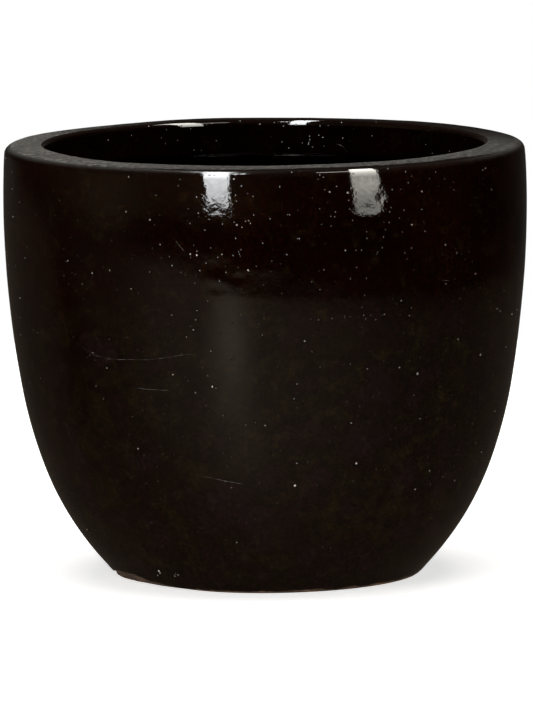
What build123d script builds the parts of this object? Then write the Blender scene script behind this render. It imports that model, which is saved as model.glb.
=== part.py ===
"""Hand-built, gloss-glazed stoneware pot: clay courses luted together under three coats of glaze.

Everything is a ring about the Z axis, so each piece is drawn as a section in the (r, z) half
plane and revolved. Millimetres, +Z up, origin at the middle of the base.
"""

from build123d import *
from math import asin, cos, degrees, radians, sin, sqrt, tan
import os

# ---------------------------------------------------------------- driving dimensions

HEIGHT = 372.0            # floor to the top of the rim
BELLY_RADIUS = 225.0      # widest radius, over the glaze
BELLY_HEIGHT = 325.0      # height of the widest radius
GLAZE = 1.2               # thickness of every coat of glaze
CLAY = 16.0               # thickness of the clay wall
WALL = CLAY + 2 * GLAZE

# Outline of the wall as tangent arcs: radius, and the degrees it turns below the horizontal
BODY_ARCS = [(940.0, 9.8), (400.0, 10.2), (258.0, 40.0)]   # from the belly down
SHOULDER_ARC = (690.0, 10.0)                               # above the belly, turning above it

# Rim: a thick roll that overhangs the inside of the wall, flat on top and falling off outwards
MOUTH_RADIUS = 187.3      # over the glaze
CROWN_START = 200.0       # radius where the flat of the rim ends and its outward fall begins
CROWN_RADIUS = 110.0      # of the arc of that fall
LIP_OUTER_FILLET = 7.0
LIP_INNER_FILLET = 5.0
RIM_FACE_BOTTOM = 341.0   # height where the straight inner face would meet the slope below it
RIM_NOSE_FILLET = 10.0    # convex edge under the inner face
RIM_ROOT_FILLET = 25.0    # hollow where the roll runs into the wall
RIM_SLOPE = 45.0          # degrees, underside of the roll

# Foot and floor
FOOT_RADIUS = 131.5       # outside of the bare clay foot
FOOT_INNER_RADIUS = 112.0
FOOT_EDGE = 1.0           # rounding of the edges that touch the ground
FOOT_STEP_HEIGHT = 4.0    # the foot is upright up to here, then steps out under the glaze
RECESS = 8.0              # hollow under the floor, inside the foot ring
FLOOR = 26.0              # top of the clay floor
FLOOR_FILLET = 40.0       # inside corner between floor and wall, over the glaze
DRAIN_RADIUS = 14.0
DRAIN_EDGE = 1.5          # rounding of both rims of the drain hole

# Joints between the pieces of clay
TONGUE_INNER, TONGUE_OUTER, TONGUE_HEIGHT = 118.0, 126.0, 2.5   # foot ring into floor slab
SLAB_SEAT_RADIUS = 136.0  # flat top of the slab ends here and a 45 degree bevel begins
COIL_SEAT = 1.5           # depth that the corner coil is pressed into floor and wall
SCARF = 30.0              # degrees that a wall joint is bevelled, lower on the inside of the wall
SEAMS = {                 # the courses of the wall, and the height of each one's top at the outside
    "heel_course": 66.0,
    "lower_course": 115.0,
    "middle_course": 164.0,
    "upper_course": 213.0,
    "belly_course": 262.0,
    "shoulder_course": 318.0,
}

# Ends of the coats of glaze
OUTER_GLAZE_BOTTOM = 4.5
RIM_GLAZE_INNER, RIM_GLAZE_OUTER = 191.5, 218.0   # the rim's own coat covers only its top
DRAIN_GLAZE_RADIUS = 16.0

FAR = 2 * BELLY_RADIUS    # beyond every section, for cutting


# ---------------------------------------------------------------- the wall curve

def wall_arcs():
    """Centre, radius, lowest and highest angle of each arc of the outside, from the top down."""
    r, z, angle = BELLY_RADIUS, BELLY_HEIGHT, 0.0
    radius, turn = SHOULDER_ARC
    arcs = [((r - radius, z), radius, angle, turn)]
    for radius, turn in BODY_ARCS:
        centre = (r - radius * cos(radians(angle)), z - radius * sin(radians(angle)))
        arcs.append((centre, radius, angle - turn, angle))
        angle -= turn
        r = centre[0] + radius * cos(radians(angle))
        z = centre[1] + radius * sin(radians(angle))
    return arcs


def wall_curve(depth, bottom, top):
    """The outline moved in by a depth from the glazed outside, between two heights."""
    curve = []
    for centre, outer_radius, lowest, highest in wall_arcs():
        radius = outer_radius - depth
        low = max(lowest, degrees(asin(max(-1.0, (bottom - centre[1]) / radius))))
        high = min(highest, degrees(asin(min(1.0, (top - centre[1]) / radius))))
        if low < high:
            curve.append(CenterArc(centre, radius, low, high - low))
    return curve[::-1]


def inside(depth, bottom, top):
    """Section of all that lies within the wall curve at a depth, between two heights."""
    curve = wall_curve(depth, bottom, top)
    low, high = curve[0] @ 0, curve[-1] @ 1
    closing = Polyline((high.X, high.Y), (0, high.Y), (0, low.Y), (low.X, low.Y))
    return make_face(curve + [closing])


def block(r_from, r_to, z_from, z_to):
    """Section of a plain ring."""
    return make_face(Polyline((r_from, z_from), (r_to, z_from), (r_to, z_to), (r_from, z_to), close=True))


def radius_and_lean(depth, height):
    """Radius of the wall curve at a depth and a height, and the degrees that its normal tips up."""
    arc = wall_curve(depth, height, HEIGHT)[0]
    point = arc @ 0
    return point.X, degrees(asin((point.Y - arc.arc_center.Y) / arc.radius))


def round_corner(section, r, z, radius):
    """Fillet the corner of a section nearest to a point."""
    corner = section.vertices().sort_by_distance((r, z))[0]
    return fillet(corner, radius)


# ---------------------------------------------------------------- the whole section

def pot_section(skin):
    """The whole pot, with a skin taken off all round; it runs on below the ground for trimming."""
    crown = Pos(CROWN_START, HEIGHT - CROWN_RADIUS) * Circle(CROWN_RADIUS - skin)
    body = inside(skin, -RECESS, HEIGHT - skin) - (block(CROWN_START, FAR, HEIGHT - WALL, FAR) - crown)
    body = round_corner(body, BELLY_RADIUS, HEIGHT, LIP_OUTER_FILLET - skin)

    mouth = MOUTH_RADIUS + skin
    nose = RIM_FACE_BOTTOM + skin * tan(radians(RIM_SLOPE / 2))
    slope = tan(radians(RIM_SLOPE))
    under_rim = make_face(Polyline(
        (0, -FAR), (FAR, -FAR), (FAR, nose - (FAR - mouth) * slope),
        (mouth, nose), (mouth, FAR), (0, FAR), close=True))
    cavity = inside(WALL - skin, FLOOR + GLAZE - skin, HEIGHT) & under_rim
    root = BELLY_RADIUS - WALL + skin
    cavity = round_corner(cavity, root, nose - (root - mouth) * slope, RIM_ROOT_FILLET + skin)
    cavity = round_corner(cavity, mouth, nose, RIM_NOSE_FILLET - skin)
    corner_radius, _ = radius_and_lean(WALL, FLOOR)
    cavity = round_corner(cavity, corner_radius, FLOOR, FLOOR_FILLET + skin)
    return round_corner(body - cavity, mouth, HEIGHT, LIP_INNER_FILLET - skin)


def below_seam(height):
    """All that lies under a bevelled wall joint, which reaches the outside at a height."""
    outer, lean = radius_and_lean(0.0, height)
    slope = tan(radians(lean + SCARF))
    return make_face(Polyline(
        (0, -FAR), (FAR, -FAR),
        (FAR, height + (FAR - outer) * slope), (0, height - outer * slope), close=True))


# ---------------------------------------------------------------- pieces of clay

def foot_ring():
    """Turned ring that the pot stands on, with a tongue on top."""
    ring = inside(GLAZE, FOOT_STEP_HEIGHT, RECESS) - block(0, FOOT_INNER_RADIUS, 0, RECESS)
    ring += block(FOOT_INNER_RADIUS, FOOT_RADIUS, 0, RECESS)
    ring = round_corner(ring, FOOT_RADIUS, 0, FOOT_EDGE)
    ring = round_corner(ring, FOOT_INNER_RADIUS, 0, FOOT_EDGE)
    return ring + block(TONGUE_INNER, TONGUE_OUTER, RECESS, RECESS + TONGUE_HEIGHT)


def slab_zone():
    """Everything that the floor slab may fill: bevelled at 45 degrees to carry the wall."""
    reach = SLAB_SEAT_RADIUS + FLOOR - RECESS
    return make_face(Polyline(
        (DRAIN_RADIUS, RECESS), (reach, RECESS),
        (SLAB_SEAT_RADIUS, FLOOR), (DRAIN_RADIUS, FLOOR), close=True))


def corner_coil():
    """Coil pressed into the inside corner, a little way into the floor and the wall."""
    fillet_radius = FLOOR_FILLET + GLAZE
    (centre_r, centre_z), arc_radius = wall_arcs()[-1][:2]
    coil_z = FLOOR + fillet_radius
    reach = arc_radius - GLAZE - CLAY - fillet_radius
    coil_r = centre_r + sqrt(reach ** 2 - (centre_z - coil_z) ** 2)
    wall_angle = asin((coil_z - centre_z) / reach)
    sector = make_face(Polyline(
        (coil_r, coil_z), (coil_r, coil_z - FAR), (coil_r + FAR, coil_z - FAR),
        (coil_r + FAR * cos(wall_angle), coil_z + FAR * sin(wall_angle)), close=True))
    pressed = inside(GLAZE + CLAY - COIL_SEAT, FLOOR - COIL_SEAT, coil_z)
    return (pressed & sector) - Pos(coil_r, coil_z) * Circle(fillet_radius)


def clay_pieces(clay):
    """Every piece of clay by name, cut from the clay section."""
    foot = foot_ring()
    coil = corner_coil()
    slab = clay & slab_zone()
    slab = round_corner(slab, DRAIN_RADIUS, FLOOR, DRAIN_EDGE)
    slab = round_corner(slab, DRAIN_RADIUS, RECESS, DRAIN_EDGE)
    pieces = {"foot_ring": foot, "floor_slab": slab - foot - coil, "corner_coil": coil}

    wall = clay - slab_zone() - coil - block(0, FAR, -FAR, RECESS) - block(0, DRAIN_RADIUS, -FAR, FAR)
    for name, seam in SEAMS.items():
        pieces[name] = wall & below_seam(seam)
        wall -= below_seam(seam)
    pieces["rim_coil"] = wall
    return pieces


# ---------------------------------------------------------------- coats of glaze

def glaze_pieces(glazed, clay):
    """The three coats by name: what the glazed section has more than the clay."""
    skin = glazed - clay
    within = inside(WALL / 2, 0.0, HEIGHT - WALL) + block(0, RIM_GLAZE_INNER, HEIGHT - 2 * WALL, FAR)
    rim_zone = block(RIM_GLAZE_INNER, RIM_GLAZE_OUTER, HEIGHT - 4 * GLAZE, FAR)
    ground = block(0, FAR, -FAR, OUTER_GLAZE_BOTTOM)
    drain = block(0, DRAIN_GLAZE_RADIUS, -FAR, FAR)
    return {
        "outer_glaze": skin - within - rim_zone - ground,
        "inner_glaze": (skin & within) - rim_zone - ground - drain,
        "rim_glaze": skin & rim_zone,
    }


def main():
    glazed = pot_section(0.0)
    clay = pot_section(GLAZE)
    os.makedirs("parts", exist_ok=True)
    for name, section in {**clay_pieces(clay), **glaze_pieces(glazed, clay)}.items():
        piece = revolve(Plane.XZ * section, Axis.Z)
        piece.label = name
        export_step(piece, f"parts/{name}.step")


main()
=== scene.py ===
"""Looks for a hand-built clay pot with a gloss black glaze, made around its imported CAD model.

Metres, +Z up. An azimuth is in degrees about the pot's axis: 0 faces the camera (-Y), 90 is +X.
A row of points (r, z) is an outline in the half plane beside the axis.
"""

import math

import bpy
import numpy as np
from mathutils import Matrix, Vector


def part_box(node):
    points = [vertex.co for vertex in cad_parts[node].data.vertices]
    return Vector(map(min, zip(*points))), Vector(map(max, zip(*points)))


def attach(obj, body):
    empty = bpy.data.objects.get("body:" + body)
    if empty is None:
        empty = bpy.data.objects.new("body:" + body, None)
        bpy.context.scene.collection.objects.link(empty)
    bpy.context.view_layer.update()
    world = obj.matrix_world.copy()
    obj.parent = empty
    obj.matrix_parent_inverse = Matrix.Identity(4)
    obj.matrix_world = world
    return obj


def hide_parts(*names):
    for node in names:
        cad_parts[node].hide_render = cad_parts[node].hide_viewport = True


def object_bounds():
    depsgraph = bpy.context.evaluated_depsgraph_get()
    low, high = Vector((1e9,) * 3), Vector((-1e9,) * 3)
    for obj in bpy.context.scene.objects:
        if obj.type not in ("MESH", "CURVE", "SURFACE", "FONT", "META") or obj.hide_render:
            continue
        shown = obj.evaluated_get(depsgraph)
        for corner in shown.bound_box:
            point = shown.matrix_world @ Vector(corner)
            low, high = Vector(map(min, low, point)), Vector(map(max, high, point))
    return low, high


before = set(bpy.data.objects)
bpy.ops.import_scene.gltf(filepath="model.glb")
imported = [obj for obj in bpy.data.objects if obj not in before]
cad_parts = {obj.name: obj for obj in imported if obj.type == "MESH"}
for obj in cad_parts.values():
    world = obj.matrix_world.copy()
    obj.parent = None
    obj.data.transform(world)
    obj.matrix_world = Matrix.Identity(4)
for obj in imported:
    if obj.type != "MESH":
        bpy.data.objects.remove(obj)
cad_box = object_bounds()

# ---------------------------------------------------------------- sizes, as in the CAD model

HEIGHT = cad_box[1][2]
BELLY_RADIUS = cad_box[1][0]
BELLY_HEIGHT = 0.325
GLAZE = 0.0012            # thickness of a coat
WALL = 0.0184             # clay with a coat of glaze on each side
BODY_ARCS = [(0.940, 9.8), (0.400, 10.2), (0.258, 40.0)]   # radius and turn, from the belly down
SHOULDER_ARC = (0.690, 10.0)

MOUTH_RADIUS = 0.1873
CROWN_START = 0.200
CROWN_RADIUS = 0.110
LIP_OUTER_FILLET = 0.007
LIP_INNER_FILLET = 0.005
RIM_FACE_BOTTOM = 0.341
RIM_NOSE_FILLET = 0.010
RIM_ROOT_FILLET = 0.025
FLOOR_FILLET = 0.040
FLOOR_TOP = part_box("floor_slab")[1][2] + GLAZE
DRAIN_GLAZE_RADIUS = 0.016

FOOT_RADIUS = 0.1315
FOOT_INNER_RADIUS = 0.112
FOOT_EDGE = 0.001
FOOT_STEP_HEIGHT = 0.004
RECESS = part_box("floor_slab")[0][2]

RIM_COAT_INNER = 0.1915
RIM_COAT_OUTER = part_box("rim_glaze")[1][0]

# ---------------------------------------------------------------- outlines

POINT_SPACING = 0.0005    # between the points of an outline
FINE_SPACING = 0.0002     # on roundings
SPLIT_SPACING = 0.0001    # where one coat of glaze meets the next
SAME_POINT = 1e-7         # points closer than this are one


def wall_arcs():
    """Centre, radius, lowest and highest lean of each arc of the outside, from the top down."""
    r, z, lean = BELLY_RADIUS, BELLY_HEIGHT, 0.0
    radius, turn = SHOULDER_ARC
    arcs = [((r - radius, z), radius, lean, turn)]
    for radius, turn in BODY_ARCS:
        start = math.radians(lean)
        centre = (r - radius * math.cos(start), z - radius * math.sin(start))
        arcs.append((centre, radius, lean - turn, lean))
        lean -= turn
        r = centre[0] + radius * math.cos(math.radians(lean))
        z = centre[1] + radius * math.sin(math.radians(lean))
    return arcs


def arc(centre, radius, start, end, spacing=POINT_SPACING):
    """Points along an arc, from one direction to another in degrees."""
    count = max(2, int(abs(math.radians(end - start)) * radius / spacing))
    t = np.radians(np.linspace(start, end, count))
    return np.stack([centre[0] + radius * np.cos(t), centre[1] + radius * np.sin(t)], axis=1)


def line(start, end):
    """Points along a straight run."""
    count = max(2, int(math.dist(start, end) / POINT_SPACING))
    return np.linspace(start, end, count)


def wall_line(depth, bottom, top):
    """The wall's curve at a depth below the glazed outside, from one height up to another."""
    runs = []
    for centre, outer_radius, lowest, highest in reversed(wall_arcs()):
        radius = outer_radius - depth
        low = max(lowest, math.degrees(math.asin(max(-1.0, (bottom - centre[1]) / radius))))
        high = min(highest, math.degrees(math.asin(min(1.0, (top - centre[1]) / radius))))
        if low < high:
            runs.append(arc(centre, radius, low, high))
    return np.concatenate(runs)


def lip():
    """Centre of the rounding outside the rim's top, and its leans where it meets wall and crown."""
    shoulder, crown = Vector(wall_arcs()[0][0]), Vector((CROWN_START, HEIGHT - CROWN_RADIUS))
    shoulder_reach = SHOULDER_ARC[0] - LIP_OUTER_FILLET
    crown_reach = CROWN_RADIUS - LIP_OUTER_FILLET
    gap = shoulder - crown
    along = (crown_reach ** 2 - shoulder_reach ** 2 + gap.length_squared) / (2 * gap.length)
    centre = crown + gap.normalized() * along
    centre -= gap.normalized().orthogonal() * math.sqrt(crown_reach ** 2 - along ** 2)
    leans = [math.degrees(math.atan2(*(centre - middle).yx)) for middle in (shoulder, crown)]
    return tuple(centre), *leans


LIP, LIP_LEAN, CROWN_LEAN = lip()
CROWN = (CROWN_START, HEIGHT - CROWN_RADIUS)
CROWN_SPLIT = math.degrees(math.acos((RIM_COAT_OUTER - CROWN[0]) / CROWN_RADIUS))
MOUTH = (MOUTH_RADIUS + LIP_INNER_FILLET, HEIGHT - LIP_INNER_FILLET)
MOUTH_SPLIT = math.degrees(math.acos((RIM_COAT_INNER - MOUTH[0]) / LIP_INNER_FILLET))


def outer_line(bottom):
    """Up the outside from a height and over the outer rounding of the lip."""
    top = LIP[1] + LIP_OUTER_FILLET * math.sin(math.radians(LIP_LEAN))
    return joined(
        wall_line(0.0, bottom, top),
        arc(LIP, LIP_OUTER_FILLET, LIP_LEAN, CROWN_LEAN, FINE_SPACING),
        arc(CROWN, CROWN_RADIUS, CROWN_LEAN, CROWN_SPLIT, SPLIT_SPACING))


def rim_line():
    """Across the top of the rim, inwards."""
    return joined(
        arc(CROWN, CROWN_RADIUS, CROWN_SPLIT, 90),
        line((CROWN_START, HEIGHT), (MOUTH[0], HEIGHT)),
        arc(MOUTH, LIP_INNER_FILLET, 90, MOUTH_SPLIT, SPLIT_SPACING))


def beside_slope(centre, distance):
    """The point at a distance from a centre, square to the slope under the rim."""
    return centre[0] + distance * math.sqrt(0.5), centre[1] + distance * math.sqrt(0.5)


def inner_line():
    """Over the inner rounding of the rim, down the inside, and in to the drain hole.

    The underside of the rim slopes at 45 degrees, and its two roundings touch that slope.
    """
    half_turn = math.radians(45 / 2)
    nose = (MOUTH_RADIUS + RIM_NOSE_FILLET, RIM_FACE_BOTTOM + RIM_NOSE_FILLET * math.tan(half_turn))
    slope_start = beside_slope(nose, -RIM_NOSE_FILLET)

    (body_r, body_z), body_radius = wall_arcs()[1][:2]
    reach = body_radius - WALL - RIM_ROOT_FILLET
    across = slope_start[0] + slope_start[1] - RIM_ROOT_FILLET * math.sqrt(2)
    b = across - body_r + body_z
    c = ((across - body_r) ** 2 + body_z ** 2 - reach ** 2) / 2
    root_z = (b - math.sqrt(b * b - 4 * c)) / 2
    root = (across - root_z, root_z)
    root_lean = math.degrees(math.atan2(root[1] - body_z, root[0] - body_r))
    root_end = root[1] + RIM_ROOT_FILLET * math.sin(math.radians(root_lean))

    (heel_r, heel_z), heel_radius = wall_arcs()[-1][:2]
    corner_z = FLOOR_TOP + FLOOR_FILLET
    reach = heel_radius - WALL - FLOOR_FILLET
    corner = (heel_r + math.sqrt(reach ** 2 - (heel_z - corner_z) ** 2), corner_z)
    corner_lean = math.degrees(math.asin((corner_z - heel_z) / reach))
    corner_top = corner_z + FLOOR_FILLET * math.sin(math.radians(corner_lean))
    return joined(
        arc(MOUTH, LIP_INNER_FILLET, MOUTH_SPLIT, 180, FINE_SPACING),
        line((MOUTH_RADIUS, MOUTH[1]), (MOUTH_RADIUS, nose[1])),
        arc(nose, RIM_NOSE_FILLET, 180, 225),
        line(slope_start, beside_slope(root, RIM_ROOT_FILLET)),
        arc(root, RIM_ROOT_FILLET, 45, root_lean),
        wall_line(WALL, corner_top, root_end)[::-1],
        arc(corner, FLOOR_FILLET, corner_lean, -90),
        line((corner[0], FLOOR_TOP), (DRAIN_GLAZE_RADIUS, FLOOR_TOP)))


def joined(*runs):
    """One outline from several, without doubled points."""
    points = np.concatenate(runs)
    step = np.linalg.norm(np.diff(points, axis=0), axis=1)
    return points[np.concatenate([[True], step > SAME_POINT])]


class Outline:
    """An outline that can be read by the distance along it; its normal is on its right hand."""

    def __init__(self, points):
        self.points = points
        steps = np.linalg.norm(np.diff(points, axis=0), axis=1)
        self.run = np.concatenate([[0.0], np.cumsum(steps)])
        self.length = self.run[-1]
        along = np.gradient(points, self.run, axis=0)
        normal = np.stack([along[:, 1], -along[:, 0]], axis=1)
        self.normals = normal / np.linalg.norm(normal, axis=1)[:, None]

    def at(self, s):
        """r, z, and the normal's r and z at distances along the outline."""
        columns = (*self.points.T, *self.normals.T)
        return tuple(np.interp(s, self.run, column) for column in columns)

    def distance_at_height(self, z):
        """Distance along an outline that only rises, or only falls."""
        way = 1 if self.points[-1, 1] > self.points[0, 1] else -1
        return np.interp(way * z, way * self.points[:, 1], self.run)

    def stations(self, spacing, fine_spacing, fine_from, fine_to):
        """Shares of the length at which rows go, closer together over one stretch."""
        coarse = np.arange(0.0, self.length, spacing)
        fine = np.arange(fine_from, fine_to, fine_spacing)
        coarse = coarse[(coarse < fine_from - spacing / 2) | (coarse > fine_to + spacing / 2)]
        return np.sort(np.concatenate([coarse, fine, [self.length]])) / self.length


# ---------------------------------------------------------------- relief


def waves(points, wavelength, seed, count=48):
    """Smooth noise in space with about that wavelength: many plane waves added, rms of 1."""
    rng = np.random.default_rng(seed)
    direction = rng.normal(size=(count, 3))
    direction /= np.linalg.norm(direction, axis=1)[:, None]
    scale = 2 * math.pi / (wavelength * rng.uniform(0.7, 1.5, count))
    phase = rng.uniform(0, 2 * math.pi, count)
    total = np.zeros(points.shape[:-1])
    for way, k, shift in zip(direction, scale, phase):
        total += np.sin(k * (points @ way) + shift)
    return total * math.sqrt(2 / count)


def turn_waves(azimuth, highest, seed):
    """Smooth noise round the pot, with up to that many waves in a turn, rms of about 1."""
    rng = np.random.default_rng(seed)
    total = np.zeros_like(azimuth)
    for k in range(2, highest + 1):
        total += rng.normal() * np.cos(k * azimuth + rng.uniform(0, 2 * math.pi))
    return total * math.sqrt(2 / (highest - 1))


def degrees_between(azimuth, centre):
    """Signed angle in degrees from a centre to azimuths that are given in radians."""
    return (np.degrees(azimuth) - centre + 180) % 360 - 180


def bell(x, width):
    """A smooth bump of height 1 and that half width."""
    return np.exp(-(x / width) ** 2)


# ---------------------------------------------------------------- meshes


def turned(radius, height, azimuth):
    """Points in space from radii, heights and azimuths in radians."""
    return np.stack([radius * np.sin(azimuth), -radius * np.cos(azimuth), height], axis=-1)


def mesh_object(name, points, faces, material):
    """A smooth-shaded mesh object that rides on the pot."""
    mesh = bpy.data.meshes.new(name)
    mesh.from_pydata(points.reshape(-1, 3).tolist(), [], faces)
    mesh.polygons.foreach_set("use_smooth", [True] * len(mesh.polygons))
    mesh.materials.append(material)
    mesh.update()
    obj = bpy.data.objects.new(name, mesh)
    bpy.context.scene.collection.objects.link(obj)
    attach(obj, "root")
    return obj


def grid_faces(rows, columns):
    """Quads of a grid that closes on itself both ways."""
    index = np.arange(rows * columns).reshape(rows, columns)
    right = np.roll(index, -1, axis=1)
    below, below_right = np.roll(index, -1, axis=0), np.roll(right, -1, axis=0)
    return np.stack([index, right, below_right, below], axis=-1).reshape(-1, 4).tolist()


def closed_ring(name, rows, material):
    """A solid ring from rows of points, each a turn, in order round its section."""
    points = np.stack(rows)
    return mesh_object(name, points, grid_faces(points.shape[0], points.shape[1]), material)


def coat(name, outline, stations, columns, relief, material, start=None, back_rows=20):
    """A coat of glaze: an outline turned about the axis, with relief in front and clay behind.

    stations are the rows' shares of the length. relief(points, azimuth, distance, height) gives how
    far the surface stands out. start gives the distance at which the coat begins at each azimuth.
    """
    azimuth = np.linspace(0, 2 * math.pi, columns, endpoint=False)
    begin = np.zeros(columns) if start is None else start(azimuth)
    rows = []
    for share in stations:
        s = begin + (outline.length - begin) * share
        r, z, nr, nz = outline.at(s)
        out = relief(turned(r, z, azimuth), azimuth, s - begin, z)
        rows.append(turned(r + nr * out, z + nz * out, azimuth))
    for share in np.linspace(1, 0, back_rows):
        s = begin + (outline.length - begin) * share
        r, z, nr, nz = outline.at(s)
        rows.append(turned(r - nr * GLAZE, z - nz * GLAZE, azimuth))
    obj = closed_ring(name, rows, material)
    obj.data.set_sharp_from_angle(angle=math.radians(50))
    return obj


# ---------------------------------------------------------------- materials


class Nodes:
    """A node tree, with short calls for the nodes used here."""

    def __init__(self, tree, place):
        self.tree = tree
        self.place = tree.nodes.new("ShaderNodeTexCoord").outputs[place]

    def node(self, kind, **settings):
        node = self.tree.nodes.new(kind)
        for key, value in settings.items():
            setattr(node, key, value)
        return node

    def put(self, value, socket):
        """Link a socket, or set a colour, vector or number, into another socket."""
        if isinstance(value, bpy.types.NodeSocket):
            self.tree.links.new(value, socket)
        elif socket.type == "RGBA" and isinstance(value, tuple):
            socket.default_value = (*value, 1.0)
        else:
            socket.default_value = value

    def noise(self, scale, detail=4.0, roughness=0.55):
        """Fractal noise; scale is in features per metre."""
        node = self.node("ShaderNodeTexNoise")
        self.put(self.place, node.inputs["Vector"])
        self.put(scale, node.inputs["Scale"])
        self.put(detail, node.inputs["Detail"])
        self.put(roughness, node.inputs["Roughness"])
        return node.outputs["Fac"]

    def cells(self, scale):
        """Distance to the nearest of scattered points, scale of them per metre."""
        node = self.node("ShaderNodeTexVoronoi")
        self.put(self.place, node.inputs["Vector"])
        self.put(scale, node.inputs["Scale"])
        return node.outputs["Distance"]

    def ramp(self, value, stops):
        """Colours or greys at positions from 0 to 1."""
        node = self.node("ShaderNodeValToRGB")
        self.put(value, node.inputs["Fac"])
        elements = node.color_ramp.elements
        while len(elements) < len(stops):
            elements.new(0.5)
        for element, (position, colour) in zip(elements, stops):
            rgb = colour if isinstance(colour, tuple) else (colour, colour, colour)
            element.position = position
            element.color = (*rgb, 1.0)
        return node.outputs["Color"]

    def mix(self, factor, a, b, blend="MIX"):
        """Two colours mixed by a factor."""
        node = self.node("ShaderNodeMix", data_type="RGBA", blend_type=blend)
        for socket, value in ((node.inputs[0], factor), (node.inputs[6], a), (node.inputs[7], b)):
            self.put(value, socket)
        return node.outputs[2]

    def math(self, operation, a, b=0.0):
        node = self.node("ShaderNodeMath", operation=operation)
        self.put(a, node.inputs[0])
        self.put(b, node.inputs[1])
        return node.outputs[0]

    def dot(self, direction):
        """How far the place lies along a direction."""
        node = self.node("ShaderNodeVectorMath", operation="DOT_PRODUCT")
        self.put(self.place, node.inputs[0])
        self.put(tuple(direction), node.inputs[1])
        return node.outputs["Value"]

    def radius(self):
        """Distance from the pot's axis."""
        flat = self.node("ShaderNodeVectorMath", operation="MULTIPLY")
        self.put(self.place, flat.inputs[0])
        self.put((1.0, 1.0, 0.0), flat.inputs[1])
        length = self.node("ShaderNodeVectorMath", operation="LENGTH")
        self.put(flat.outputs[0], length.inputs[0])
        return length.outputs["Value"]

    def between(self, value, low, high):
        """0 at one value, 1 at another, smooth between."""
        node = self.node("ShaderNodeMapRange", interpolation_type="SMOOTHSTEP")
        self.put(value, node.inputs["Value"])
        self.put(low, node.inputs["From Min"])
        self.put(high, node.inputs["From Max"])
        return node.outputs["Result"]

    def bump(self, value, distance, under=None):
        node = self.node("ShaderNodeBump")
        self.put(distance, node.inputs["Distance"])
        self.put(value, node.inputs["Height"])
        if under is not None:
            self.put(under, node.inputs["Normal"])
        return node.outputs["Normal"]


class Material(Nodes):
    """A new material with a Principled shader."""

    def __init__(self, name):
        self.material = bpy.data.materials.new(name)
        self.material.use_nodes = True
        super().__init__(self.material.node_tree, "Object")
        self.shader = self.tree.nodes["Principled BSDF"]

    def set(self, **inputs):
        for name, value in inputs.items():
            self.put(value, self.shader.inputs[name.replace("_", " ")])


# How much farther out than its narrowest the dusty part of the rim's top can reach; towards the ends
# this reach is painted light on the lip's rounding
DUST_AND_PAINTED_LIGHT_SPREAD = 0.009


def dust_and_painted_light_width(m):
    """How much farther out than its narrowest the dusty part reaches: widest at the left. Beyond a
    little real dust, the extra reach towards both ends is painted light where light falls on the lip's
    rounding.
    """
    across = m.math("ADD", m.dot((2.0, 0.0, 0.0)), 0.5)
    left, right = [(0.08, 0.95), (0.25, 0.67), (0.36, 0.40), (0.56, 0.0)], [(0.82, 0.0), (0.92, 0.85)]
    return m.math("MULTIPLY", m.ramp(across, left + right), DUST_AND_PAINTED_LIGHT_SPREAD)


def gloss_glaze(name):
    """Near-black gloss glaze, browner and clouded where it runs thin low on the wall."""
    m = Material(name)
    height = m.dot((0, 0, 1))
    drift = m.noise(14.0, detail=3.0)
    deep = m.ramp(drift, [(0.35, (0.0030, 0.0004, 0.0001)), (0.65, (0.0056, 0.0011, 0.0002))])
    olive = m.ramp(m.noise(70.0, detail=5.0, roughness=0.65),
                   [(0.54, 0.0), (0.68, (0.0036, 0.0028, 0.0009))])
    purple_to_olive = [(0.36, (0.0062, 0.0022, 0.0022)), (0.5, (0.0034, 0.0010, 0.0004)),
                       (0.62, (0.0058, 0.0032, 0.0008))]
    thin = m.ramp(m.noise(30.0, detail=6.0, roughness=0.65), purple_to_olive)
    body = m.mix(1.0, m.mix(m.between(height, 0.30, 0.20), deep, thin), olive, "ADD")
    speckle = m.ramp(m.noise(260.0, detail=6.0, roughness=0.7),
                     [(0.42, 0.7), (0.5, 0.95), (0.60, 1.5)])
    pinpricks = m.cells(150.0)
    dirt = m.ramp(pinpricks, [(0.045, (0.050, 0.044, 0.034)), (0.075, 0.0)])
    glaze = m.mix(1.0, m.mix(1.0, body, speckle, "MULTIPLY"), dirt, "ADD")
    # Outer lip: pale, rough dust all round, widened towards the ends by painted light on the rounding
    high_on_lip, outside_crown = m.between(height, 0.3668, 0.3706), m.between(m.radius(), 0.200, 0.206)
    outer_lip = m.math("MULTIPLY", high_on_lip, outside_crown)
    dust_and_painted_light = m.math("ADD", m.math("MULTIPLY", dust_and_painted_light_width(m), 0.94 / DUST_AND_PAINTED_LIGHT_SPREAD), 0.06)
    dust_and_painted_light = m.math("MULTIPLY", dust_and_painted_light, outer_lip)
    m.set(Base_Color=m.mix(dust_and_painted_light, glaze, m.mix(1.0, (0.040, 0.038, 0.034), speckle, "MULTIPLY")))
    worn = m.ramp(m.noise(45.0, detail=6.0, roughness=0.65), [(0.35, 0.025), (0.7, 0.06)])
    m.set(Roughness=m.math("ADD", worn, m.math("MULTIPLY", dust_and_painted_light, 0.45)), IOR=1.5)
    band = m.math("MULTIPLY", m.between(height, 0.322, 0.334), m.between(height, 0.366, 0.346))
    wrinkled = m.bump(m.math("MULTIPLY", m.noise(260.0, detail=3.0, roughness=0.5), band), 0.00009)
    craters = m.bump(m.ramp(m.cells(90.0), [(0.054, 0.0), (0.102, 1.0)]), 0.00020, wrinkled)
    pits = m.bump(m.ramp(pinpricks, [(0.06, 0.0), (0.13, 1.0)]), 0.00008, craters)
    ripple = m.bump(m.noise(210.0, detail=3.0), 0.00004, pits)
    m.set(Normal=m.bump(m.noise(700.0, detail=2.0), 0.000004, ripple))
    return m.material


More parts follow.
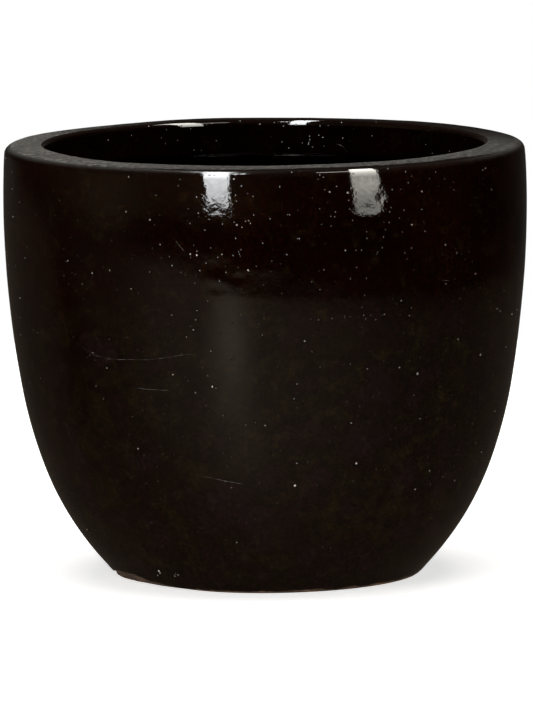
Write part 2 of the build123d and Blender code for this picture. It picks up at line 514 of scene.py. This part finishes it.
def dry_glaze(name):
    """Thin, dry, speckled glaze on the rim's top, darker and wetter at its edges and the back, with
    painted light making it lighter towards the left.
    """
    m = Material(name)
    grain = m.noise(650.0, detail=5.0, roughness=0.7)
    ragged = m.math("MULTIPLY", m.math("SUBTRACT", m.noise(130.0, detail=4.0), 0.5), 0.007)
    radius = m.math("ADD", m.radius(), ragged)
    inner = m.between(radius, 0.1890, 0.1912)
    # The pale dry zone reaches farther out towards the ends: painted light on the lip's rounding
    outer = m.between(m.math("SUBTRACT", radius, dust_and_painted_light_width(m)), 0.2132, 0.2095)
    front = m.between(m.dot((0.32, 1.0, 0.0)), 0.18, 0.0)
    dryness = m.math("MULTIPLY", m.math("MULTIPLY", inner, outer),
                     m.ramp(front, [(0.0, 0.08), (0.5, 0.4), (1.0, 1.0)]))
    patch = m.noise(34.0, detail=4.0)
    base = m.ramp(patch, [(0.3, (0.034, 0.032, 0.030)), (0.7, (0.050, 0.047, 0.042))])
    # Painted light: up to half again lighter towards the left, where the light falls from the front
    # left
    left = m.ramp(m.between(m.dot((-1.0, 0.0, 0.0)), 0.02, 0.18), [(0.0, 0.95), (1.0, 1.5)])
    dust = m.ramp(m.noise(210.0, detail=6.0, roughness=0.75),
                  [(0.40, 0.35), (0.5, 1.0), (0.60, 2.2), (0.66, 5.0)])
    dry = m.mix(1.0, m.mix(1.0, base, left, "MULTIPLY"), dust, "MULTIPLY")
    m.set(Base_Color=m.mix(dryness, (0.003, 0.001, 0.0005), dry), Specular_IOR_Level=0.1)
    m.set(Roughness=m.ramp(dryness, [(0.0, 0.25), (0.35, 0.5), (1.0, 0.7)]))
    rough = m.bump(grain, 0.00008)
    m.set(Normal=m.bump(m.noise(180.0, detail=3.0), 0.00012, rough))
    return m.material


def fired_clay(name):
    """Bare brown stoneware with iron specks and a sandy surface."""
    m = Material(name)
    grain = m.noise(900.0, detail=6.0, roughness=0.7)
    browns = [(0.3, (0.052, 0.028, 0.014)), (0.5, (0.095, 0.053, 0.027)), (0.72, (0.17, 0.095, 0.047))]
    base = m.ramp(m.noise(40.0, detail=5.0), browns)
    tint = m.ramp(grain, [(0.35, 0.55), (0.5, 1.0), (0.66, 1.4)])
    specks = m.ramp(m.cells(420.0), [(0.08, 0.0), (0.16, 1.0)])
    m.set(Base_Color=m.mix(specks, (0.02, 0.013, 0.009), m.mix(1.0, base, tint, "MULTIPLY")))
    m.set(Roughness=m.ramp(grain, [(0.4, 0.78), (0.6, 0.95)]))
    rough = m.bump(grain, 0.00025)
    m.set(Normal=m.bump(m.noise(220.0, detail=4.0), 0.0004, rough))
    return m.material


def pinhole_dust_and_glints(name):
    """Pale dust and bare clay in the pinholes, whiter in some than in others; the pale colour is also a
    painted glint at each pinhole.
    """
    m = Material(name)
    clay_to_dust = [(0.35, (0.10, 0.085, 0.07)), (0.65, (0.55, 0.52, 0.47))]
    m.set(Base_Color=m.ramp(m.noise(60.0, detail=2.0), clay_to_dust))
    m.set(Roughness=m.ramp(m.noise(1500.0), [(0.4, 0.35), (0.6, 0.6)]))
    return m.material


def scuffed_glaze(name):
    """Glaze scratched dull."""
    m = Material(name)
    along = m.noise(220.0, detail=3.0)
    m.set(Base_Color=m.ramp(along, [(0.44, (0.008, 0.006, 0.005)), (0.62, (0.15, 0.13, 0.11))]))
    m.set(Roughness=m.ramp(along, [(0.4, 0.45), (0.6, 0.7)]))
    return m.material


# ---------------------------------------------------------------- the pieces

gloss = gloss_glaze("glaze_gloss_black")
dry = dry_glaze("glaze_dry_rim")
clay = fired_clay("fired_clay")
# Pinholes: pale dust and clay, also painted glints
dust = pinhole_dust_and_glints("pinhole_dust_and_glints")
scuff = scuffed_glaze("scuffed_glaze")

LOWEST_RUN = 0.0010       # height that the glaze's lowest run stays above
outside = Outline(outer_line(LOWEST_RUN))
over_rim = Outline(rim_line())
inside = Outline(inner_line())

# Dents and ripples seen in the glaze: azimuth, height, half widths across and up, depth
DENTS = [
    (-11.0, 0.2715, 0.006, 0.0040, 0.00012),
    (-6.3, 0.2800, 0.006, 0.0030, 0.00010),
    (1.0, 0.2890, 0.020, 0.0070, -0.00014),
    (-10.0, 0.2900, 0.018, 0.0090, 0.00012),
    (-10.5, 0.3360, 0.006, 0.0040, 0.00006),
    (-7.5, 0.3400, 0.004, 0.0050, -0.00005),
    (25.6, 0.3450, 0.0050, 0.0034, 0.00030),
    (23.4, 0.3372, 0.0100, 0.0036, 0.00010),
    (19.8, 0.3400, 0.0040, 0.0060, -0.00006),
]
SEAM_HEIGHT = 0.262       # where the belly course is luted to the shoulder course
RELIEF_MARGIN = 0.0004    # sinks the relief of the lip and the outside below the CAD outline
LEAST_SUNK = 0.00002      # how far below that outline both stay at least
INSIDE_SUNK = 0.0002      # sinks the middle of the relief of the inside
FOOT_BEAD = 0.0006        # how far the glaze swells where it stops above the foot
FINE_ROWS_FROM = 0.352    # height above which the outer coat's rows lie closer together


# Waves of each surface: height, wavelength and seed
LIP_WAVES = [(0.00018, 0.130, 31), (0.00003, 0.030, 32)]
WALL_WAVES = [(0.00009, 0.110, 11), (0.000025, 0.045, 12), (0.000008, 0.016, 13), (0.000003, 0.009, 14)]
INSIDE_WAVES = [(0.00025, 0.080, 41), (0.00008, 0.030, 42), (0.000006, 0.012, 43)]
FOOT_WAVES = [(0.00018, 0.012, 51), (0.00010, 0.004, 52)]


def wavy(points, rows):
    """The waves of one surface, added up."""
    return sum(height * waves(points, wavelength, seed) for height, wavelength, seed in rows)


def smooth_step(x, low, high):
    """0 at one value, 1 at another, smooth between."""
    t = np.clip((x - low) / (high - low), 0.0, 1.0)
    return t * t * (3 - 2 * t)


def rim_relief(points, azimuth, distance, height):
    """Waves of the lip, which all three coats follow where they meet."""
    return np.minimum(wavy(points, LIP_WAVES) - RELIEF_MARGIN, -LEAST_SUNK)


def outer_relief(points, azimuth, distance, height):
    """Waves of the hand-built wall, ripples of the glaze, the seam, dents, and the foot bead."""
    out = wavy(points, WALL_WAVES) + 0.00003 * bell(height - SEAM_HEIGHT, 0.006)
    for centre, level, across, up, depth in DENTS:
        sideways = np.radians(degrees_between(azimuth, centre)) * BELLY_RADIUS
        out -= depth * bell(sideways, across) * bell(height - level, up)
    out += FOOT_BEAD * bell(distance - 0.002, 0.0028)
    out = np.minimum(out - RELIEF_MARGIN, -LEAST_SUNK)
    lip_share = smooth_step(height, 0.350, 0.3685)
    return out + (rim_relief(points, azimuth, distance, height) - out) * lip_share


def outer_start(azimuth):
    """Where the outer coat begins: ragged, with bare clay at the left and a few runs."""
    ragged = 0.0005 * turn_waves(azimuth, 40, 21) + 0.0003 * turn_waves(azimuth, 120, 22)
    bare = 0.0072 * bell(degrees_between(azimuth, -57.0), 12.0)
    bare += 0.0035 * bell(degrees_between(azimuth, -72.0), 10.0)
    height = 0.0022 + ragged + bare
    return outside.distance_at_height(np.maximum(height, LOWEST_RUN + 0.0004))


def inner_relief(points, azimuth, distance, height):
    """Finger waves of the inside wall under the glaze."""
    out = wavy(points, INSIDE_WAVES) - INSIDE_SUNK
    lip_share = smooth_step(height, 0.300, 0.342)
    return out + (rim_relief(points, azimuth, distance, height) - out) * lip_share


lip_start = outside.distance_at_height(FINE_ROWS_FROM)
outer_rows = outside.stations(
    spacing=0.0025, fine_spacing=0.0009, fine_from=lip_start, fine_to=outside.length)
outer_coat = coat(
    "outer_coat", outside, outer_rows, columns=440, relief=outer_relief, material=gloss,
    start=outer_start)
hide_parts("outer_glaze")

rim_rows = over_rim.stations(spacing=0.0010, fine_spacing=0.0005, fine_from=0.0, fine_to=0.003)
rim_coat = coat(
    "rim_coat", over_rim, rim_rows, columns=720, relief=rim_relief, material=dry, back_rows=8)
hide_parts("rim_glaze")

inner_rows = inside.stations(spacing=0.0036, fine_spacing=0.0008, fine_from=0.0, fine_to=0.040)
inner_coat = coat(
    "inner_coat", inside, inner_rows, columns=400, relief=inner_relief, material=gloss)
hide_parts("inner_glaze")


def foot_section():
    """The foot ring's outline, from its top at the inside down and round to its top outside."""
    step_radius = wall_line(GLAZE, FOOT_STEP_HEIGHT, RECESS)[0][0]
    return joined(
        line((FOOT_INNER_RADIUS, RECESS), (FOOT_INNER_RADIUS, FOOT_EDGE)),
        arc((FOOT_INNER_RADIUS + FOOT_EDGE, FOOT_EDGE), FOOT_EDGE, 180, 270),
        line((FOOT_INNER_RADIUS + FOOT_EDGE, 0.0), (FOOT_RADIUS - FOOT_EDGE, 0.0)),
        arc((FOOT_RADIUS - FOOT_EDGE, FOOT_EDGE), FOOT_EDGE, -90, 0),
        line((FOOT_RADIUS, FOOT_EDGE), (FOOT_RADIUS, FOOT_STEP_HEIGHT)),
        line((FOOT_RADIUS, FOOT_STEP_HEIGHT), (step_radius, FOOT_STEP_HEIGHT)),
        wall_line(GLAZE, FOOT_STEP_HEIGHT, RECESS))


FOOT_COLUMNS = 720
FOOT_SPACING = 0.0009     # between the foot's rows


def rough_foot():
    """Bare foot ring, sandy, chipped along its edges, and worn away below the bare patch."""
    outline = Outline(foot_section())
    azimuth = np.linspace(0, 2 * math.pi, FOOT_COLUMNS, endpoint=False)
    rows = []
    for s in np.linspace(0, outline.length, int(outline.length / FOOT_SPACING)):
        r, z, nr, nz = (np.full_like(azimuth, value) for value in outline.at(s))
        place = turned(r, z, azimuth)
        out = wavy(place, FOOT_WAVES) - 0.0003
        edge = bell(z, 0.0012) * bell(r - FOOT_RADIUS, 0.0015)
        chips = np.maximum(0.0, turn_waves(azimuth, 150, 53) - 1.1)
        out = np.minimum(out - 0.0007 * edge * chips, 0.0)
        worn = 0.0026 * bell(degrees_between(azimuth, -50.0), 20.0)
        worn = worn * bell(z, 0.0030) * bell(r - FOOT_RADIUS, 0.0050)
        level = z + nz * (out * (z > 0.0002) - worn)
        rows.append(turned(r + nr * (out - worn), np.maximum(level, 0.0), azimuth))
    return closed_ring("bare_foot", rows, clay)


bare_foot = rough_foot()
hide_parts("foot_ring")


# ---------------------------------------------------------------- pinholes and scratches


def surface_point(outline, relief, height, azimuth_degrees):
    """A point on a coat's surface, the normal there, and the way round the pot."""
    azimuth = math.radians(azimuth_degrees)
    s = outline.distance_at_height(height)
    r, z, nr, nz = outline.at(s)
    place = turned(np.array([r]), np.array([z]), np.array([azimuth]))
    out = relief(place, np.array([azimuth]), np.array([s]), np.array([z]))[0]
    normal = np.array([nr * math.sin(azimuth), -nr * math.cos(azimuth), nz])
    sideways = np.array([math.cos(azimuth), math.sin(azimuth), 0.0])
    return place[0] + normal * out, normal, sideways


def crater(centre, normal, sideways, radius, rim_height, sides=10):
    """Rings of a small crater: foot, raised rim, and a shallow middle."""
    up = np.cross(normal, sideways)
    t = np.linspace(0, 2 * math.pi, sides, endpoint=False)
    around = np.cos(t)[:, None] * sideways + np.sin(t)[:, None] * up
    rings = [(1.25, -0.00012), (1.0, rim_height), (0.7, rim_height * 0.8), (0.35, 0.00002)]
    points = np.concatenate(
        [centre + around * radius * share + normal * level for share, level in rings])
    faces = []
    for ring in range(len(rings) - 1):
        for i in range(sides):
            j = (i + 1) % sides
            a, b = ring * sides, (ring + 1) * sides
            faces.append((a + i, a + j, b + j, b + i))
    faces.append(tuple(range((len(rings) - 1) * sides, len(rings) * sides)))
    faces.append(tuple(reversed(range(sides))))
    return points, faces


def gather(name, parts, material):
    """One object from many small closed meshes."""
    points, faces, start = [], [], 0
    for part_points, part_faces in parts:
        points.append(part_points)
        faces += [tuple(start + i for i in face) for face in part_faces]
        start += len(part_points)
    obj = mesh_object(name, np.concatenate(points), faces, material)
    return obj


ROW_HEIGHT = 0.2455
ROW = np.linspace(10.0, 30.0, 11)      # azimuths of a row of pinholes
PINHOLE_RIM = 0.00008                  # how far a pinhole's rim stands out
SCATTER = [(290, 0.20, 0.38), (60, 0.45, 0.50)]    # how many, smallest radius, spread of radii
FLECKS = 6
MOUTH_PINHOLES = 16


def pinholes():
    """Pinholes scattered over the outside, thickest on the upper half, and just inside the mouth.

    Azimuths in degrees, heights in metres, radii in millimetres. One row of them is at the right,
    and a few flecks are beside the bare patch at the foot.
    """
    rng = np.random.default_rng(61)
    places = []
    for azimuth in ROW:
        azimuth += rng.normal(0, 0.5)
        places.append((azimuth, ROW_HEIGHT + rng.normal(0, 0.0007), rng.uniform(0.15, 0.35)))
    for count, smallest, spread in SCATTER:
        for _ in range(count):
            height = 0.015 + 0.350 * rng.uniform() ** 0.5
            places.append((rng.uniform(-180, 180), height, smallest + spread * rng.uniform() ** 2.0))
    for _ in range(FLECKS):
        places.append((rng.uniform(-43, -31), rng.uniform(0.011, 0.018), rng.uniform(0.5, 0.9)))
    parts = [crater(*surface_point(outside, outer_relief, height, azimuth), radius / 1000, PINHOLE_RIM)
             for azimuth, height, radius in places]
    for _ in range(MOUTH_PINHOLES):
        place = surface_point(inside, inner_relief, rng.uniform(0.343, 0.363), rng.uniform(-180, 180))
        parts.append(crater(*place, rng.uniform(0.35, 0.55) / 1000, PINHOLE_RIM))
    return gather("pinholes", parts, dust)


# Hairline scratches: points of azimuth and height
SCRATCHES = [
    [(-47.5, 0.2185), (-41.5, 0.209), (-37.0, 0.207), (-26.5, 0.209), (-17.0, 0.2155),
     (-15.4, 0.2133)],
    [(-31.5, 0.1842), (-28.0, 0.1832), (-22.2, 0.1832)],
    [(-19.6, 0.3115), (-18.4, 0.306), (-17.3, 0.3015)],
    [(41.4, 0.2705), (44.1, 0.2695)],
    [(-16.6, 0.1095), (-10.0, 0.105), (-4.3, 0.1015)],
    [(96.0, 0.255), (108.0, 0.247), (117.0, 0.249)],
    [(-140.0, 0.180), (-128.0, 0.187), (-121.0, 0.184)],
    [(166.0, 0.300), (171.0, 0.289)],
]
MOUTH_SCRATCH = [(160.3, 0.3500), (159.0, 0.3498), (157.5, 0.3447), (157.0, 0.3422)]


RIBBON_STEP = 0.002       # between the sections of a scratch


def ribbon(route, width, lift, outline, relief):
    """A thin closed strip that follows a coat through points of azimuth and height."""
    route = np.array(route)
    legs = np.hypot(np.radians(np.diff(route[:, 0])) * BELLY_RADIUS, np.diff(route[:, 1]))
    steps = np.concatenate([[0.0], np.cumsum(legs)])
    count = max(4, int(steps[-1] / RIBBON_STEP))
    s = np.linspace(0, steps[-1], count)
    azimuths, heights = np.interp(s, steps, route[:, 0]), np.interp(s, steps, route[:, 1])
    points, faces = [], []
    for i in range(count):
        centre, normal, sideways = surface_point(outline, relief, heights[i], azimuths[i])
        taper = min(1.0, 0.25 + 4 * min(i, count - 1 - i) / count)
        ahead, behind = min(i + 1, count - 1), max(i - 1, 0)
        rise = heights[ahead] - heights[behind]
        run = math.radians(azimuths[ahead] - azimuths[behind]) * BELLY_RADIUS
        along = sideways * run + np.cross(normal, sideways) * rise
        across = np.cross(normal, along / np.linalg.norm(along)) * width * taper / 2
        points += [centre + across - normal * lift, centre + across * 0.5 + normal * lift,
                   centre - across * 0.5 + normal * lift, centre - across - normal * lift]
        if i:
            a, b = 4 * (i - 1), 4 * i
            faces += [(a + k, a + (k + 1) % 4, b + (k + 1) % 4, b + k) for k in range(4)]
    faces += [(3, 2, 1, 0), tuple(4 * (count - 1) + k for k in range(4))]
    return np.array(points), faces


pinholes()
HAIRLINE = {"width": 0.00026, "lift": 0.00002, "outline": outside, "relief": outer_relief}
SCUFF = {"width": 0.0007, "lift": 0.00004, "outline": inside, "relief": inner_relief}
strips = [ribbon(route, **HAIRLINE) for route in SCRATCHES]
strips.append(ribbon(MOUTH_SCRATCH, **SCUFF))
gather("scratches", strips, scuff)

# Carried-over clay courses
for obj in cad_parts.values():
    if obj.type == "MESH":
        obj.data.materials.clear()
        obj.data.materials.append(clay)

# ---------------------------------------------------------------- stage, light and camera

FLOOR_RADIUS = 1.6
FLOOR_SIDES = 96
ARCH_COLUMNS = 9          # points across a glowing strip
HEIGHT_LIT = 0.2          # where the soft lights aim on the axis


def stage_floor():
    """A pale round floor that the pot stands on; the glaze mirrors the studio instead of it."""
    azimuth = np.linspace(0, 2 * math.pi, FLOOR_SIDES, endpoint=False)
    level = np.zeros(FLOOR_SIDES)
    rings = [turned(level + r, level, azimuth) for r in np.linspace(0.01, FLOOR_RADIUS, 12)]
    points = np.concatenate(rings)
    faces = [tuple(range(FLOOR_SIDES))]
    for ring in range(len(rings) - 1):
        a, b = ring * FLOOR_SIDES, (ring + 1) * FLOOR_SIDES
        for i in range(FLOOR_SIDES):
            j = (i + 1) % FLOOR_SIDES
            faces.append((a + i, a + j, b + j, b + i))
    m = Material("pale_floor")
    m.set(Base_Color=m.ramp(m.noise(3.0), [(0.3, (0.86, 0.85, 0.83)), (0.7, (0.90, 0.89, 0.87))]))
    m.set(Roughness=0.6, Emission_Color=(1.0, 1.0, 1.0), Emission_Strength=0.7)
    mesh = bpy.data.meshes.new("floor")
    mesh.from_pydata(points.tolist(), [], faces)
    mesh.materials.append(m.material)
    floor = bpy.data.objects.new("floor", mesh)
    floor.visible_glossy = False
    bpy.context.scene.collection.objects.link(floor)


def soft_light(name, place, size, radiance, colour):
    """A large square light that shines at the pot, for matt surfaces but not for gloss."""
    middle = Vector(place)
    facing = (middle - Vector((0.0, 0.0, HEIGHT_LIT))).normalized()
    data = bpy.data.lights.new(name, "AREA")
    data.size = size
    data.energy = radiance * math.pi * size ** 2
    data.color = colour
    light = bpy.data.objects.new(name, data)
    turn = facing.to_track_quat("Z", "Y").to_matrix().to_4x4()
    light.matrix_world = Matrix.Translation(middle) @ turn
    light.visible_camera = light.visible_glossy = False
    bpy.context.scene.collection.objects.link(light)


def mirrored_from(azimuth, lean):
    """The place on the lip or shoulder with this azimuth and lean, and the way it mirrors."""
    a, t = math.radians(azimuth), math.radians(lean)
    centre, radius = wall_arcs()[0][0], SHOULDER_ARC[0]
    if lean > LIP_LEAN:
        centre, radius = LIP, LIP_OUTER_FILLET
    r, z = centre[0] + radius * math.cos(t), centre[1] + radius * math.sin(t)
    normal = Vector((math.sin(a) * math.cos(t), -math.cos(a) * math.cos(t), math.sin(t)))
    way = 2 * normal.dot(CAMERA_WAY) * normal - CAMERA_WAY
    return Vector((r * math.sin(a), -r * math.cos(a), z)), way


def light_arch(name, edges, leans, distance, colour, glow):
    """A glowing strip that arches over the pot, for the glaze to mirror.

    edges are the azimuths of the strip's two sides where the lip mirrors them to the camera.
    glow is its radiance at rising leans of the lip.
    """
    def height(lean):
        place, way = mirrored_from(sum(edges) / 2, lean)
        return place.z + way.z * distance

    low, high = height(glow[0][0]), height(glow[-1][0])
    brightest = max(radiance for _, radiance in glow)
    stops = [((height(lean) - low) / (high - low), radiance / brightest) for lean, radiance in glow]
    points, faces = [], []
    for lean in leans:
        for azimuth in np.linspace(*edges, ARCH_COLUMNS):
            place, way = mirrored_from(azimuth, lean)
            points.append(place + way * distance)
    for row in range(len(leans) - 1):
        for column in range(ARCH_COLUMNS - 1):
            a = row * ARCH_COLUMNS + column
            b = a + ARCH_COLUMNS
            faces.append((a, a + 1, b + 1, b))
    m = Material(name)
    share = m.math("DIVIDE", m.math("SUBTRACT", m.dot((0.0, 0.0, 1.0)), low), high - low)
    strength = m.ramp(share, stops)
    mottle = m.ramp(m.noise(70.0, detail=4.0, roughness=0.6),
                    [(0.36, 0.62), (0.5, 1.0), (0.64, 1.3)])
    strength = m.mix(1.0, strength, mottle, "MULTIPLY")
    m.set(Base_Color=(0.0, 0.0, 0.0), Emission_Color=m.mix(1.0, colour, strength, "MULTIPLY"))
    m.set(Emission_Strength=brightest)
    mesh = bpy.data.meshes.new(name)
    mesh.from_pydata(points, [], faces)
    mesh.materials.append(m.material)
    arch = bpy.data.objects.new(name, mesh)
    arch.visible_camera = arch.visible_diffuse = arch.visible_shadow = False
    bpy.context.scene.collection.objects.link(arch)


def towards(azimuth, elevation):
    """A direction from an azimuth and an elevation in degrees."""
    a, e = math.radians(azimuth), math.radians(elevation)
    return math.sin(a) * math.cos(e), -math.cos(a) * math.cos(e), math.sin(e)


# Soft glows of the studio round the pot: azimuth, elevation and half width, radiance, colour
FLOOR_GLOWS = [
    (4.0, -20.0, 46.0, 0.13, (1.0, 0.86, 0.66)),
    (-17.0, -18.0, 8.5, 0.40, (1.0, 0.88, 0.70)),
    (-15.0, -34.0, 13.0, 0.10, (1.0, 0.86, 0.72)),
    (-42.0, -16.0, 18.0, 0.08, (1.0, 0.86, 0.70)),
]
ROOM_GLOWS = [
    (-72.0, 4.0, 32.0, 0.10, (1.0, 0.72, 0.42)),
    (-22.0, 4.0, 20.0, 0.09, (1.0, 0.72, 0.42)),
]
OPEN_GLOWS = [
    (-150.0, -6.0, 9.0, 0.022, (1.0, 0.95, 0.90)),
    (-72.0, -9.0, 14.0, 0.055, (1.0, 0.80, 0.55)),
    (180.0, -9.0, 36.0, 0.034, (1.0, 0.93, 0.86)),
]
FLOOR_GLOW = (0.041, 0.033, 0.025)
CEILING_GLOW = (0.050, 0.045, 0.038)
FLOOR_SHADE = (-100.0, -15.0, 9.0, 0.9)    # something dark stands on the floor at the left
EDGE_TILT = (0.054, -0.058, 1.0)           # square to the plane through the bright floor's edge
EDGE = (-0.148, -0.205)                    # how far below that plane the floor's glow sets in
BEYOND_EDGE = (-7.5, -5.0)                 # elevations between which the room's light sets in
CEILING = (8.0, 50.0)                      # elevations between which the ceiling's glow sets in


def studio_world():
    """White to the camera; otherwise a dim room with a soft glow on its floor round the pot."""
    world = bpy.data.worlds.new("studio")
    world.use_nodes = True
    bpy.context.scene.world = world
    world.node_tree.nodes.clear()
    w = Nodes(world.node_tree, "Generated")

    def glow(azimuth, elevation, width, radiance, colour):
        away = w.math("SUBTRACT", w.dot(towards(azimuth, elevation)), 1.0)
        steepness = 1.0 / (1.0 - math.cos(math.radians(width)))
        falloff = w.math("EXPONENT", w.math("MULTIPLY", away, steepness))
        return w.mix(1.0, tuple(radiance * c for c in colour), falloff, "MULTIPLY")

    def above(elevations):
        sines = [math.sin(math.radians(elevation)) for elevation in elevations]
        return w.between(w.dot((0.0, 0.0, 1.0)), *sines)

    floor = FLOOR_GLOW
    for row in FLOOR_GLOWS:
        floor = w.mix(1.0, floor, glow(*row), "ADD")
    room = (0.002, 0.001, 0.0)
    for row in ROOM_GLOWS:
        room = w.mix(1.0, room, glow(*row), "ADD")
    floor = w.mix(glow(*FLOOR_SHADE, (1.0, 1.0, 1.0)), floor, (0.004, 0.002, 0.001))
    room = w.mix(1.0, room, w.mix(above(CEILING), (0.0, 0.0, 0.0), CEILING_GLOW), "ADD")
    beyond = w.mix(above(BEYOND_EDGE), (0.0, 0.0, 0.0), room)
    for row in OPEN_GLOWS:
        beyond = w.mix(1.0, beyond, glow(*row), "ADD")
    colour = w.mix(w.between(w.dot(EDGE_TILT), *EDGE), beyond, floor)

    output = w.node("ShaderNodeOutputWorld")
    mix = w.node("ShaderNodeMixShader")
    dim, white = w.node("ShaderNodeBackground"), w.node("ShaderNodeBackground")
    w.put(colour, dim.inputs["Color"])
    w.put((1.0, 1.0, 1.0), white.inputs["Color"])
    w.put(w.node("ShaderNodeLightPath").outputs["Is Camera Ray"], mix.inputs[0])
    w.put(dim.outputs[0], mix.inputs[1])
    w.put(white.outputs[0], mix.inputs[2])
    w.put(mix.outputs[0], output.inputs["Surface"])


def camera():
    """A long lens, a little above the pot's middle."""
    data = bpy.data.cameras.new("camera")
    data.sensor_width, data.lens = 36.0, CAMERA_LENS
    data.clip_end = 100.0
    obj = bpy.data.objects.new("camera", data)
    place = Matrix.Translation(CAMERA_AIM + CAMERA_WAY * CAMERA_DISTANCE)
    tilt = Matrix.Rotation(math.radians(90 - CAMERA_ELEVATION), 4, "X")
    roll = Matrix.Rotation(math.radians(CAMERA_ROLL), 4, "Z")
    obj.matrix_world = place @ tilt @ roll
    bpy.context.scene.collection.objects.link(obj)
    bpy.context.scene.camera = obj


CAMERA_AIM = Vector((0.0001, 0.0, 0.1868))
CAMERA_DISTANCE = 8.0
CAMERA_LENS = 470.8       # millimetres
CAMERA_ELEVATION = 7.30
CAMERA_ROLL = -0.542
CAMERA_WAY = Vector(towards(0.0, CAMERA_ELEVATION))

# Leans of the lip at which the strips have their rows, and rows of lean and radiance
ARCH_LEANS = [3.0, 5.0, 8.0, 15.0, 25.0, 35.0, 45.0, 55.0, 62.0]
GLINT_LEANS = [40.0, 45.0]
LEFT_GLOW = [(1.75, 10.6), (2.5, 13.2), (3.3, 15.2), (6.0, 17.5), (12.0, 22.0), (25.0, 27.0),
             (45.0, 27.0)]
RIGHT_GLOW = [(1.05, 3.2), (2.2, 4.3), (2.9, 5.1), (3.3, 6.6), (8.0, 9.0), (18.0, 11.5),
              (30.0, 15.0), (45.0, 22.0)]
LEFT_GLINT_GLOW = [(40.0, 45.0), (45.0, 45.0)]
RIGHT_GLINT_GLOW = [(40.0, 7.0), (45.0, 7.0)]
LEFT_GLINTS = [(-8.0, -7.4), (-6.6, -6.0), (-5.1, -4.5)]    # azimuths of three dots of light
LEFT_DISTANCE, RIGHT_DISTANCE = 1.5, 0.9
COOL, WARM = (0.97, 0.985, 1.0), (1.0, 0.97, 0.88)

stage_floor()
light_arch("light_arch_left", (-13.0, -7.7), [1.75] + ARCH_LEANS, LEFT_DISTANCE, COOL, LEFT_GLOW)
light_arch("light_arch_right", (19.6, 25.8), [1.05] + ARCH_LEANS, RIGHT_DISTANCE, WARM, RIGHT_GLOW)
for number, edges in enumerate(LEFT_GLINTS):
    light_arch(f"glint_left_{number}", edges, GLINT_LEANS, LEFT_DISTANCE, COOL, LEFT_GLINT_GLOW)
light_arch("glint_right", (11.6, 19.6), GLINT_LEANS, RIGHT_DISTANCE, (1.0, 0.97, 0.9), RIGHT_GLINT_GLOW)
soft_light(
    "overhead_light", place=(0.0, 0.0, 3.2), size=3.2, radiance=3.6, colour=(1.0, 0.99, 0.97))
soft_light(
    "front_left_light", place=(-1.0, -1.9, 1.6), size=1.2, radiance=2.4, colour=(1.0, 0.99, 0.98))
studio_world()
camera()
bpy.context.scene.view_settings.view_transform = "Standard"
